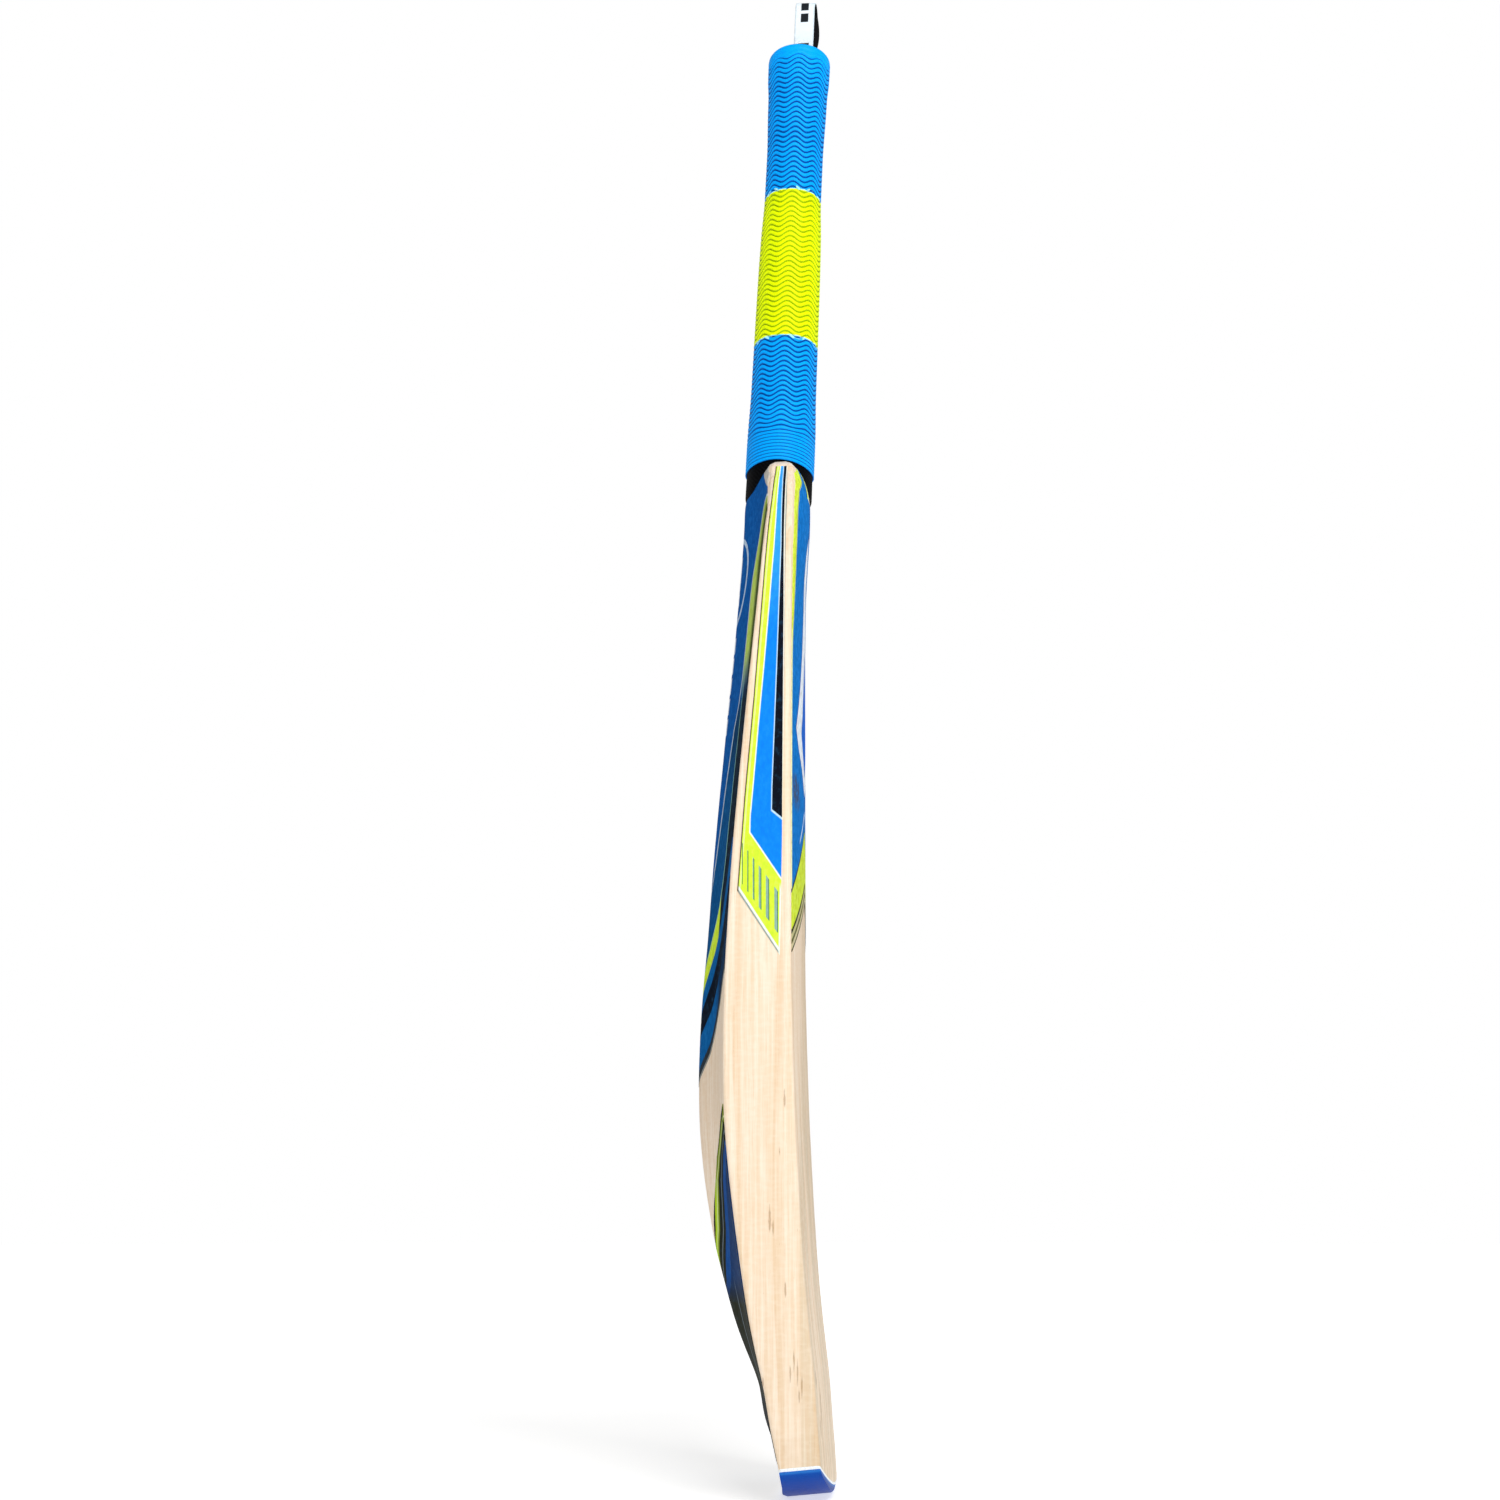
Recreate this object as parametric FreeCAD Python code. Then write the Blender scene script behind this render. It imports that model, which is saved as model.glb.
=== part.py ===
import FreeCAD, Part
import math
import os
from FreeCAD import Vector

# A full-size cricket bat, short handle, standing on its toe.
# Millimetres. X is the width, the hitting face looks to -Y, the spine to +Y, the handle is up.
# The origin is the middle of the toe guard's flat, where the bat is tapped on the ground.

# ---------------------------------------------------------------- driving dimensions
BAT_LENGTH = 838.4          # toe to the top of the grip, without the hanging loop
BLADE_WIDTH = 108.0
CORNER_R = 1.8              # rounding between the edges, the face and the back
LOFT_BOTTOM = -20.0         # the blade is drawn past the toe, then cut to it
LOFT_TOP = 559.0
FAR = 200.0                 # cutting blocks reach this far past what they cut

# Blade profile along its length: (height, value), joined by smooth curves.
HALF_WIDTH = [(-20, 54.0), (478, 54.0), (500, 52.0), (515, 48.0), (530, 41.5), (546, 31.0), (559, 19.0)]
FACE_LINE = [(-20, -11.2), (18, -9.8), (50, -7.8), (100, -3.2), (150, -0.2), (200, 1.8), (265, 2.9),
             (350, 2.5), (450, 1.6), (530, 0.5), (545, 0.9), (552, 2.6), (559, 6.0)]
EDGE_HEIGHT = [(-20, 18.2), (12, 20.0), (30, 22.4), (100, 30.7), (195, 36.3), (300, 32.1), (400, 24.2),
               (480, 17.0), (530, 13.6), (545, 13.4), (552, 11.4), (559, 6.4)]
SPINE_RISE = [(-20, 2.8), (20, 4.3), (50, 7.0), (100, 14.2), (140, 17.7), (175, 18.4), (220, 17.6),
              (300, 15.4), (430, 15.8), (530, 17.4), (536, 16.9), (542, 15.0), (549, 11.8), (554, 7.0),
              (559, 2.5)]
FACE_CAMBER = [(-20, 4.8), (50, 4.4), (120, 3.9), (200, 4.0), (480, 4.0), (505, 5.2), (527, 6.6), (537, 6.8),
               (547, 5.5), (559, 1.5)]
FLANK = [(0.92, 0.045), (0.66, 0.25), (0.34, 0.60), (0.13, 0.90)]  # back flank: share of width, of rise
ROUND_FLANK = [0.07, 0.36, 0.76, 0.965]     # shares of the rise where the shoulders wrap the handle
WRAP = [(-20, 0.0), (500, 0.0), (537, 1.0), (559, 1.0)]            # how far the flank is that rounder one
STATION_STEP = 22.0         # between blade sections
SHOULDER_STEP = 7.0         # between blade sections on the shoulders
SHOULDER_START = 478.0

# Toe guard: a rubber shoe glued under the toe, with a pale layer between rubber and wood.
TOE_TILT = 5.5              # the toe is square to the face there, which leans forward
GROUND_LINE = [(12, 0.0), (23, 1.5), (34, 4.6), (44, 9.0), (51, 13.6), (54, 17.0)]   # half width, height
GUARD_THICK = 2.6           # in the middle
GUARD_SIDE = 16.6           # height of the guard's rim on the edges
BEAD_THICK = 1.2
TOE_ROUND_FACE = 2.8        # radius of its underside towards the face
TOE_ROUND_BACK = 5.2        # and towards the back
ROUND_SLOPES = (22.5, 45.0, 67.5)          # degrees, of the facets that make the rounding

# Handle: axis from the root, leaning towards the face.
ROOT_Z = 536.0
ROOT_Y = 12.1
HANDLE_LEAN = 2.8
GRIP_TOP = (BAT_LENGTH - ROOT_Z) / math.cos(math.radians(HANDLE_LEAN))   # along the axis from the root
HANDLE_TOP = GRIP_TOP - 3.4                                              # end of the canes
# Radius of the bound handle and of the grip: (distance up the axis from the root, radius).
HANDLE_R = [(0, 18.5), (4, 19.5), (30, 19.1), (70, 17.8), (150, 17.0), (205, 15.4), (262, 15.7),
            (HANDLE_TOP - 20, 16.3), (HANDLE_TOP - 8, 16.0), (HANDLE_TOP, 12.6)]
BINDING_THICK = 0.9
SPLICE_TIP_Z = 415.0        # point of the V let into the blade
SPLICE_TIP_HALF = 3.5
SPLICE_ROOT_HALF = 17.0
SPRING_THICK = 1.5          # rubber springs between the laminations
LAMINA_THICK = 8.4
CANE_HALF = 6.1             # half width of the middle cane of each lamination

# Grip: one rubber sleeve moulded in three colour bands.
GRIP_R = [(16, 20.3), (43, 20.2), (70, 19.5), (122, 19.15), (150, 18.9), (176, 18.4), (204, 17.4),
          (232, 17.4), (262, 18.2), (276, 18.5), (286, 19.2), (GRIP_TOP - 4.5, 19.4),
          (GRIP_TOP - 2.8, 19.0), (GRIP_TOP - 1.6, 17.9), (GRIP_TOP - 0.6, 15.8), (GRIP_TOP, 11.9)]
GRIP_BOTTOM = 18.4          # at the front and the back, from the root
GRIP_ARCH = 2.8             # how far the shoulders push the lower rim up at the sides
GRIP_HOLE_R = 10.7          # opening in the closed top
DOME_DROPS = [4.5, 2.8, 1.6, 0.6, 0.0]   # below the top, the stations of the domed end
BAND_LOW = 101.5            # lower blue to yellow
BAND_HIGH = 200.5           # yellow to upper blue

# Hanging loop of ribbon, folded over, tucked into the top of the grip.
LOOP_WIDTH = 12.0
LOOP_THICK = 1.0
LOOP_FOOT = 4.4             # half distance between the legs, outside, where they enter the grip
LOOP_R = 6.0                # outer radius of the bend
LOOP_RISE = 38.6            # bend centre above the canes
LOOP_OFFSET = -2.4          # towards the face, from the handle's axis

# Stickers: printed film on the wood.
FILM = 0.25
FILM_SPLIT_Y = 8.0          # a plane inside the blade that parts front films from back films


# ---------------------------------------------------------------- helpers
def smooth(points, at):
    """Value at a height of the curve through the points, with no overshoot between them."""
    slopes = []
    for (z0, v0), (z1, v1) in zip(points, points[1:]):
        slopes.append((v1 - v0) / (z1 - z0))
    tangents = [slopes[0]]
    for before, after in zip(slopes, slopes[1:]):
        same_way = before * after > 0
        tangents.append(2 * before * after / (before + after) if same_way else 0.0)
    tangents.append(slopes[-1])
    for i, ((z0, v0), (z1, v1)) in enumerate(zip(points, points[1:])):
        if at <= z1 or i == len(slopes) - 1:
            h = z1 - z0
            t = (at - z0) / h
            return ((2 * t ** 3 - 3 * t ** 2 + 1) * v0 + (t ** 3 - 2 * t ** 2 + t) * h * tangents[i]
                    + (3 * t ** 2 - 2 * t ** 3) * v1 + (t ** 3 - t ** 2) * h * tangents[i + 1])


def spline(points, parameters=None):
    """Smooth curve through the points; the same parameters keep a loft's sections alike."""
    curve = Part.BSplineCurve()
    if parameters:
        curve.interpolate(Points=points, Parameters=parameters)
    else:
        curve.interpolate(points)
    return curve.toShape()


def prism_y(points_xz, y_low, y_high):
    """Closed outline in the XZ plane, extruded along Y."""
    corners = [Vector(x, y_low, z) for x, z in points_xz]
    outline = Part.makePolygon(corners + corners[:1])
    return Part.Face(outline).extrude(Vector(0, y_high - y_low, 0))


def prism_x(points_yz, x_low, x_high):
    """Closed outline in the YZ plane, extruded along X."""
    corners = [Vector(x_low, y, z) for y, z in points_yz]
    outline = Part.makePolygon(corners + corners[:1])
    return Part.Face(outline).extrude(Vector(x_high - x_low, 0, 0))


def on_handle(shape):
    """From the handle's own axis (root at the origin, +Z along it) to its place on the bat."""
    placed = shape.copy()
    placed.rotate(Vector(0, 0, 0), Vector(1, 0, 0), HANDLE_LEAN)
    placed.translate(Vector(0, ROOT_Y, ROOT_Z))
    return placed


def save(node, shape):
    solids = shape.Solids
    whole = solids[0] if len(solids) == 1 else Part.makeCompound(solids)
    whole.exportStep("parts/%s.step" % node)
    print("%-22s solids %d valid %s volume %.0f" % (node, len(solids), whole.isValid(), whole.Volume))


# ---------------------------------------------------------------- blade body
def blade_section(z, grow):
    """Wire of the blade's section at a height, grown outwards by the thickness of a film."""
    half = smooth(HALF_WIDTH, z) + grow
    face = smooth(FACE_LINE, z) - grow
    back = smooth(FACE_LINE, z) + smooth(EDGE_HEIGHT, z) + grow
    rise = smooth(SPINE_RISE, z)
    camber = smooth(FACE_CAMBER, z)
    diagonal = CORNER_R * (1 - math.sqrt(0.5))
    inner = half - CORNER_R

    def point(x, y):
        return Vector(x, y, z)

    face_edge = Part.Arc(point(-inner, face), point(0, face - camber), point(inner, face)).toShape()
    wrap = smooth(WRAP, z)
    flank = [(half * share, back + rise * (lift + wrap * (rounder - lift)))
             for (share, lift), rounder in zip(FLANK, ROUND_FLANK)]
    right_side = [point(inner, back)] + [point(x, y) for x, y in flank]
    left_side = [point(-x, y) for x, y in reversed(flank)] + [point(-inner, back)]
    shares = [(1 - share) / 2 for share, lift in FLANK]
    parameters = [0.0] + shares + [0.5] + [1 - share for share in reversed(shares)] + [1.0]
    back_edge = spline(right_side + [point(0, back + rise)] + left_side, parameters)
    edges = [face_edge,
             Part.Arc(point(inner, face), point(half - diagonal, face + diagonal),
                      point(half, face + CORNER_R)).toShape(),
             Part.LineSegment(point(half, face + CORNER_R), point(half, back - CORNER_R)).toShape(),
             Part.Arc(point(half, back - CORNER_R), point(half - diagonal, back - diagonal),
                      point(inner, back)).toShape(),
             back_edge,
             Part.Arc(point(-inner, back), point(-half + diagonal, back - diagonal),
                      point(-half, back - CORNER_R)).toShape(),
             Part.LineSegment(point(-half, back - CORNER_R), point(-half, face + CORNER_R)).toShape(),
             Part.Arc(point(-half, face + CORNER_R), point(-half + diagonal, face + diagonal),
                      point(-inner, face)).toShape()]
    return Part.Wire(edges)


def blade_body(grow):
    """The whole outside of the blade, toe to shoulders, before anything is cut out of it."""
    count = round((SHOULDER_START - LOFT_BOTTOM) / STATION_STEP)
    heights = [LOFT_BOTTOM + (SHOULDER_START - LOFT_BOTTOM) * i / count for i in range(count)]
    count = round((LOFT_TOP - SHOULDER_START) / SHOULDER_STEP)
    heights += [SHOULDER_START + (LOFT_TOP - SHOULDER_START) * i / count for i in range(count + 1)]
    return Part.makeLoft([blade_section(z, grow) for z in heights], True, False)


# ---------------------------------------------------------------- toe
def above(line, y=0.0, way=1, rise=0.0):
    """Everything above a line drawn across the toe, square to the lower face. With a rise, that limit
    slopes up from the line as it passes y, towards the face where way is 1, towards the back where -1."""
    reach, rim = line[-1].Vertexes[-1].X, line[-1].Vertexes[-1].Z
    top = LOFT_TOP + FAR
    corners = [Vector(reach, 0, rim), Vector(reach, 0, top), Vector(-reach, 0, top), Vector(-reach, 0, rim)]
    sides = [Part.LineSegment(a, b).toShape() for a, b in zip(corners, corners[1:])]
    wire = Part.Wire(Part.__sortEdges__(line + sides))
    wire.translate(Vector(0, y + way * FAR, -rise * FAR))
    block = Part.Face(wire).extrude(Vector(0, -2 * way * FAR, 2 * rise * FAR))
    block.rotate(Vector(0, 0, 0), Vector(1, 0, 0), -TOE_TILT)
    return block


def ground_line(lowered=0.0):
    """Underside of the guard: a flat in the middle, rounded up to the edges and past them. It can be
    lowered towards the edges."""
    half = GROUND_LINE[-1][0]
    points = [Vector(x, 0, z - lowered * (x / half) ** 2) for x, z in GROUND_LINE]
    curve = Part.BSplineCurve()
    curve.interpolate(points + [points[-1] + Vector(2, 0, 6)], InitialTangent=Vector(1, 0, 0),
                      FinalTangent=Vector(0.15, 0, 1))
    right = curve.toShape()
    left = right.mirror(Vector(0, 0, 0), Vector(1, 0, 0))
    flat_left = Vector(-points[0].x, 0, points[0].z)
    return [left, Part.LineSegment(flat_left, points[0]).toShape(), right]


def glue_line(middle, side):
    """Upper side of a layer under the toe: one arc, carried past the edges."""
    half = BLADE_WIDTH / 2
    radius = (half ** 2 + (side - middle) ** 2) / (2 * (side - middle))
    reach = half + 2
    rim = middle + radius - math.sqrt(radius ** 2 - reach ** 2)
    return [Part.Arc(Vector(-reach, 0, rim), Vector(0, 0, middle), Vector(reach, 0, rim)).toShape()]


def toe_rounding():
    """Block whose underside is rounded, in narrow facets, towards the face and the back. The rounding
    dies out towards the edges."""
    tilt = math.radians(TOE_TILT)
    face = smooth(FACE_LINE, 0) - smooth(FACE_CAMBER, 0)
    back = smooth(FACE_LINE, 0) + smooth(EDGE_HEIGHT, 0) + smooth(SPINE_RISE, 0)
    block = above(ground_line())
    for y, radius, way in ((face, TOE_ROUND_FACE, 1), (back, TOE_ROUND_BACK, -1)):
        for slope in ROUND_SLOPES:
            rise = math.tan(math.radians(slope))
            inset = radius * (1 - math.tan(math.radians(slope / 2)))
            start = y * math.cos(tilt) + way * inset
            block = block.common(above(ground_line(inset * rise), start, way, rise))
    return block


def toe_parts(body):
    above_guard = above(glue_line(GUARD_THICK, GUARD_SIDE))
    above_bead = above(glue_line(GUARD_THICK + BEAD_THICK, GUARD_SIDE + BEAD_THICK))
    rounded = body.common(toe_rounding())
    guard = rounded.cut(above_guard)
    bead = rounded.common(above_guard).cut(above_bead)
    wood = rounded.common(above_bead)
    return guard, bead, wood


# ---------------------------------------------------------------- handle
def turned(profile, inset, low, high, step=8.0):
    """Round bar whose radius follows a profile less an inset, as one smooth revolved side."""
    count = max(2, round((high - low) / step))
    heights = [low + (high - low) * i / count for i in range(count + 1)]
    side = spline([Vector(smooth(profile, z) - inset, 0, z) for z in heights])
    first, last = side.Vertexes[0].Point, side.Vertexes[-1].Point
    axis_low, axis_high = Vector(0, 0, low), Vector(0, 0, high)
    wire = Part.Wire([Part.LineSegment(axis_low, first).toShape(), side,
                      Part.LineSegment(last, axis_high).toShape(),
                      Part.LineSegment(axis_high, axis_low).toShape()])
    return Part.Face(wire).revolve(Vector(0, 0, 0), Vector(0, 0, 1), 360)


def splice_prism():
    """V-shaped block, through the blade from face to spine."""
    outline = [(-SPLICE_TIP_HALF, SPLICE_TIP_Z), (SPLICE_TIP_HALF, SPLICE_TIP_Z),
               (SPLICE_ROOT_HALF, ROOT_Z + 1), (-SPLICE_ROOT_HALF, ROOT_Z + 1)]
    return prism_y(outline, -FAR, FAR)


def handle_blank(body):
    """The glued-up handle: a round bar with the splice wedge below it."""
    bar = on_handle(turned(HANDLE_R, BINDING_THICK, 0, HANDLE_TOP))
    wedge = body.common(splice_prism())
    return bar.fuse(wedge).removeSplitter()


def layer_block(x_low, x_high, y_low, y_high):
    block = Part.makeBox(x_high - x_low, y_high - y_low, HANDLE_TOP + 2 * FAR, Vector(x_low, y_low, -FAR))
    return on_handle(block)


def handle_layers(blank):
    """Four laminations of three canes, with a rubber spring between neighbours."""
    pitch = LAMINA_THICK + SPRING_THICK
    reach = 60.0
    centres = [-1.5 * pitch, -0.5 * pitch, 0.5 * pitch, 1.5 * pitch]
    columns = {"left": (-reach, -CANE_HALF), "middle": (-CANE_HALF, CANE_HALF), "right": (CANE_HALF, reach)}
    pieces = {}
    for number, centre in enumerate(centres, 1):
        low = -reach if number == 1 else centre - LAMINA_THICK / 2
        high = reach if number == len(centres) else centre + LAMINA_THICK / 2
        for side, (x_low, x_high) in columns.items():
            pieces["cane_%d_%s" % (number, side)] = blank.common(layer_block(x_low, x_high, low, high))
    for number, centre in enumerate((-pitch, 0.0, pitch), 1):
        low, high = centre - SPRING_THICK / 2, centre + SPRING_THICK / 2
        pieces["rubber_spring_%d" % number] = blank.common(layer_block(-reach, reach, low, high))
    return pieces


def binding():
    outer = turned(HANDLE_R, 0, 0, HANDLE_TOP - 1)
    inner = turned(HANDLE_R, BINDING_THICK, -1, HANDLE_TOP)
    return on_handle(outer.cut(inner))


# ---------------------------------------------------------------- grip
def grip_side(low, high):
    """Outside of the grip between two heights, as one smooth curve."""
    count = max(2, round((high - low) / 9.0))
    heights = [low + (high - low) * i / count for i in range(count + 1)]
    return [Vector(smooth(GRIP_R, z), 0, z) for z in heights]


def grip_band(low, high):
    """Ring of the grip between two heights, hollow for the bound handle."""
    outer = turned(GRIP_R, 0, low, high, 9.0)
    inner = turned(HANDLE_R, 0, low - 1, high + 1, 9.0)
    return outer.cut(inner)


def grip_top():
    """Upper band with the knob, closed over the canes except for a round hole."""
    side = grip_side(BAND_HIGH, GRIP_TOP - DOME_DROPS[0])
    dome = [Vector(smooth(GRIP_R, GRIP_TOP - drop), 0, GRIP_TOP - drop) for drop in DOME_DROPS]
    crown = dome[-1]
    outer = spline(side)
    cap = spline(dome)
    axis_low, axis_high = Vector(0, 0, BAND_HIGH), Vector(0, 0, crown.z)
    wire = Part.Wire([Part.LineSegment(axis_low, side[0]).toShape(), outer, cap,
                      Part.LineSegment(crown, axis_high).toShape(),
                      Part.LineSegment(axis_high, axis_low).toShape()])
    whole = Part.Face(wire).revolve(Vector(0, 0, 0), Vector(0, 0, 1), 360)
    hollow = turned(HANDLE_R, 0, BAND_HIGH - 1, HANDLE_TOP, 9.0)
    hole = Part.makeCylinder(GRIP_HOLE_R, FAR, Vector(0, 0, HANDLE_TOP - 5))
    return whole.cut(hollow).cut(hole)


def grip_lower():
    """Lower band; its rim arches up over the two shoulders."""
    band = grip_band(GRIP_BOTTOM - 5, BAND_LOW)
    reach = 1.5 * GRIP_R[0][1]
    arch_side = GRIP_BOTTOM + GRIP_ARCH * (reach / GRIP_R[0][1]) ** 2
    left, right = Vector(-reach, -FAR, arch_side), Vector(reach, -FAR, arch_side)
    arch = Part.Arc(left, Vector(0, -FAR, GRIP_BOTTOM), right).toShape()
    floor = [Vector(reach, -FAR, -FAR), Vector(-reach, -FAR, -FAR)]
    wire = Part.Wire([arch, Part.LineSegment(right, floor[0]).toShape(),
                      Part.LineSegment(floor[0], floor[1]).toShape(),
                      Part.LineSegment(floor[1], left).toShape()])
    return band.cut(Part.Face(wire).extrude(Vector(0, 2 * FAR, 0)))


# ---------------------------------------------------------------- hanging loop
def hang_loop():
    """Flat ribbon: up one leg, over the bend, down the other leg."""
    def arch(foot, radius):
        bend = HANDLE_TOP + LOOP_RISE
        left, right = Vector(-radius, 0, bend), Vector(radius, 0, bend)
        feet = Vector(-foot, 0, HANDLE_TOP), Vector(foot, 0, HANDLE_TOP)
        return [Part.LineSegment(feet[0], left).toShape(),
                Part.Arc(left, Vector(0, 0, bend + radius), right).toShape(),
                Part.LineSegment(right, feet[1]).toShape()], feet
    outer, outer_feet = arch(LOOP_FOOT, LOOP_R)
    inner, inner_feet = arch(LOOP_FOOT - LOOP_THICK, LOOP_R - LOOP_THICK)
    edges = outer + inner + [Part.LineSegment(outer_feet[0], inner_feet[0]).toShape(),
                             Part.LineSegment(outer_feet[1], inner_feet[1]).toShape()]
    wire = Part.Wire(Part.__sortEdges__(edges))
    ribbon = Part.Face(wire).extrude(Vector(0, LOOP_WIDTH, 0))
    ribbon.translate(Vector(0, LOOP_OFFSET - LOOP_WIDTH / 2, 0))
    return on_handle(ribbon)


# ---------------------------------------------------------------- stickers
# Outlines: (y, z) on the edges, (x, z) for the right half of the face and the back.
EDGE_FILM = [(4.6, 548), (11.2, 548), (12.7, 521), (17.7, 458), (22.2, 402), (27.1, 347), (30.7, 298),
             (8.6, 264), (7.6, 304), (5.7, 401), (3.9, 520)]
FACE_FILM = [(0, 300), (51.0, 266), (51.0, 430), (49.4, 490), (43, 520), (31, 543), (19, 552), (0, 552)]
BACK_UPPER_FILM = [(0, 201), (20, 216), (42, 241), (52, 256), (52, 480), (46, 515), (31, 543), (23, 553),
                   (0, 553)]
BACK_LOWER_FILM = [(0, 112), (13, 139), (27, 164), (46, 184), (52, 189), (52, 21), (40, 14),
                   (0, 6)]


def mirrored(outline):
    """Closed symmetric outline from its right half."""
    return outline + [(-x, z) for x, z in reversed(outline) if x > 0]


def films(body, keep_out):
    skin = blade_body(FILM).cut(body).cut(keep_out)
    shapes = {}
    for side, sign in (("left", -1), ("right", 1)):
        inside, outside = sign * 12.0, sign * (BLADE_WIDTH / 2 + 10)
        outline = prism_x(EDGE_FILM, min(inside, outside), max(inside, outside))
        shapes["edge_sticker_%s" % side] = skin.common(outline)
    shapes["face_sticker"] = skin.common(prism_y(mirrored(FACE_FILM), -60, FILM_SPLIT_Y))
    shapes["back_sticker_upper"] = skin.common(prism_y(mirrored(BACK_UPPER_FILM), FILM_SPLIT_Y, 90))
    shapes["back_sticker_lower"] = skin.common(prism_y(mirrored(BACK_LOWER_FILM), FILM_SPLIT_Y, 90))
    return shapes


# ---------------------------------------------------------------- the bat
def main():
    os.makedirs("parts", exist_ok=True)
    body = blade_body(0.0)
    guard, bead, wood = toe_parts(body)
    bound_handle = on_handle(turned(HANDLE_R, 0, 0, HANDLE_TOP))
    around_handle = wood.cut(splice_prism()).cut(bound_handle)
    save("blade", max(around_handle.Solids, key=lambda solid: solid.Volume))   # without the crumbs of the cut
    save("toe_guard", guard)
    save("toe_guard_bead", bead)
    for name, shape in handle_layers(handle_blank(body)).items():
        save(name, shape)
    save("handle_binding", binding())
    save("grip_lower", on_handle(grip_lower()))
    save("grip_middle", on_handle(grip_band(BAND_LOW, BAND_HIGH)))
    save("grip_upper", on_handle(grip_top()))
    save("hang_loop", hang_loop())
    for name, shape in films(body, bound_handle).items():
        save(name, shape)


main()
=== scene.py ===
import math

import bmesh
import bpy
from mathutils import Matrix, Vector


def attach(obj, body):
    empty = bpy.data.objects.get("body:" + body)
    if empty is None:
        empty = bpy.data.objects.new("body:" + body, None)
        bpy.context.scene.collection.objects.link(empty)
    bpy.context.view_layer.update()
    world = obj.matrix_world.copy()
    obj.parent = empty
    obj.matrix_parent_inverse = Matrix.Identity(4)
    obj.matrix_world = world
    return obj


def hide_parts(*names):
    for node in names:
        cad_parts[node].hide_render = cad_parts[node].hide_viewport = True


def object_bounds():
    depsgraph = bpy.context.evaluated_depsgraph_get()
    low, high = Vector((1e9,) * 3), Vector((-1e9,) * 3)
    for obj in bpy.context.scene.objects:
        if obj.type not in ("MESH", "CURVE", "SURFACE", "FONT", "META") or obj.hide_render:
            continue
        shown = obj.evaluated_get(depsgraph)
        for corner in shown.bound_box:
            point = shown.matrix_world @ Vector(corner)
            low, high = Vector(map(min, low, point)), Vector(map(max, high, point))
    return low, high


# A cricket bat standing on its toe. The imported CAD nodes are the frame; here the grip gets its moulded
# ridges, the handle its twine, the loop its ribbon, and every surface its material.
# Blender's unit is the metre. Lengths below are in millimetres, and materials work in millimetres too.
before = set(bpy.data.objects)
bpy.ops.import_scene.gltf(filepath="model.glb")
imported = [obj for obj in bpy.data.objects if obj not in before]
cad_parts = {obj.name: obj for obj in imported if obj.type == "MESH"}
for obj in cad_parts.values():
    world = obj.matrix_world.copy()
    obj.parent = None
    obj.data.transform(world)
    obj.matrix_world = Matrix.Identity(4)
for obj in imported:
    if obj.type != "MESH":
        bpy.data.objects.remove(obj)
cad_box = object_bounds()
MM = 0.001

# ---------------------------------------------------------------- sizes that the CAD has too
BAT_LENGTH = 838.4
BLADE_HALF = 54.0           # half of its width
TOE_TILT = math.radians(5.5)
GUARD_THICK = 2.6
GUARD_SIDE = 16.6           # height of the toe guard's rim on the edges
GUARD_RISE = GUARD_SIDE - GUARD_THICK
GUARD_RIM_RADIUS = (BLADE_HALF ** 2 + GUARD_RISE ** 2) / (2 * GUARD_RISE)    # arc of its upper side
ROOT_Y = 12.1
ROOT_Z = 536.0
LEAN = math.radians(2.8)
ON_HANDLE = Matrix.Translation(Vector((0, ROOT_Y, ROOT_Z)) * MM) @ Matrix.Rotation(LEAN, 4, "X")
GRIP_TOP = (BAT_LENGTH - ROOT_Z) / math.cos(LEAN)    # along the handle's axis, from its root
HANDLE_TOP = GRIP_TOP - 3.4
BAND_LOW = 101.5
BAND_HIGH = 200.5
GRIP_BOTTOM = 18.4
GRIP_ARCH = 2.8
GRIP_HOLE_R = 10.7
HANDLE_R = [(0, 18.5), (4, 19.5), (30, 19.1), (70, 17.8), (150, 17.0), (205, 15.4), (262, 15.7),
            (HANDLE_TOP - 20, 16.3), (HANDLE_TOP - 8, 16.0), (HANDLE_TOP, 12.6)]
# The end of the grip is a little squarer here than in the CAD.
GRIP_R = [(16, 20.3), (43, 20.2), (70, 19.5), (122, 19.15), (150, 18.9), (176, 18.4), (204, 17.4),
          (232, 17.4), (262, 18.2), (276, 18.5), (286, 19.2), (GRIP_TOP - 4.5, 19.4),
          (GRIP_TOP - 2.8, 19.2), (GRIP_TOP - 1.4, 18.4), (GRIP_TOP - 0.5, 16.8), (GRIP_TOP, 12.4)]

# ---------------------------------------------------------------- looks
WAVES = 8                   # waves of the grip's ridges around the handle
WAVE_HEIGHT = 1.65          # half of a wave's height
WAVE_CREST = math.radians(183)   # a crest looks this way round the handle
RIDGE_DEPTH = 0.92
RIDGE_PITCH = [(30, 3.0), (100, 3.28), (150, 3.38), (200, 3.47), (300, 3.34)]   # (height, pitch)
RIDGE_SHAPE = [(0.0, 0.0), (0.08, 0.42), (0.2, 0.78), (0.36, 0.97), (0.5, 1.0), (0.64, 0.97), (0.8, 0.78),
               (0.92, 0.42)]         # share of the pitch, share of the depth
RIB_DEPTH = 0.55            # of the fine ribs by the lower rim
RIB_PITCH = 2.3
RIBS = 9
SMOOTH_TOP = 3.0            # the grip's end has no ridges above this far below the top
WAVES_LEAD = 2.0            # the ridges start to wave this far below the end of the ribs
WAVES_GROW = 14.0           # and reach their full height over this length
WAVES_DIE = 9.0             # they flatten again over this length below the smooth end
RIDGES_DIE = 6.0            # the last ridges get shallower over this length
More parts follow.
